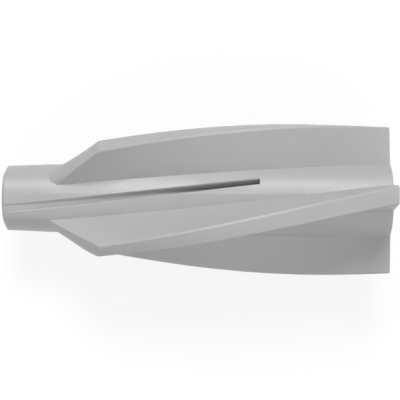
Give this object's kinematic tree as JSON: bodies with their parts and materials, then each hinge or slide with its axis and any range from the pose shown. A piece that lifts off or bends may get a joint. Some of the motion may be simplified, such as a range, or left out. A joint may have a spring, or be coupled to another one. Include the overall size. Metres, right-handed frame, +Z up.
{
  "type": "wall plug",
  "caption": "One-piece nylon wall plug for aerated concrete: a tapered hollow core with helical fins, a plain nose, a screw bore and a helical slot.",
  "frame": {"origin": "centre of the rear face, at the mouth of the screw bore", "axes": "the plug lies at rest on two fins, +Z up, its tip towards -X; its axis runs from the tip towards +X and rises by 3.3 degrees"},
  "size_m": [0.0557, 0.0214, 0.0218],
  "materials": {
    "nylon": "satin moulded nylon"
  },
  "bodies": {
    "root": {"wall_plug": "nylon"}
  },
  "joints": []
}
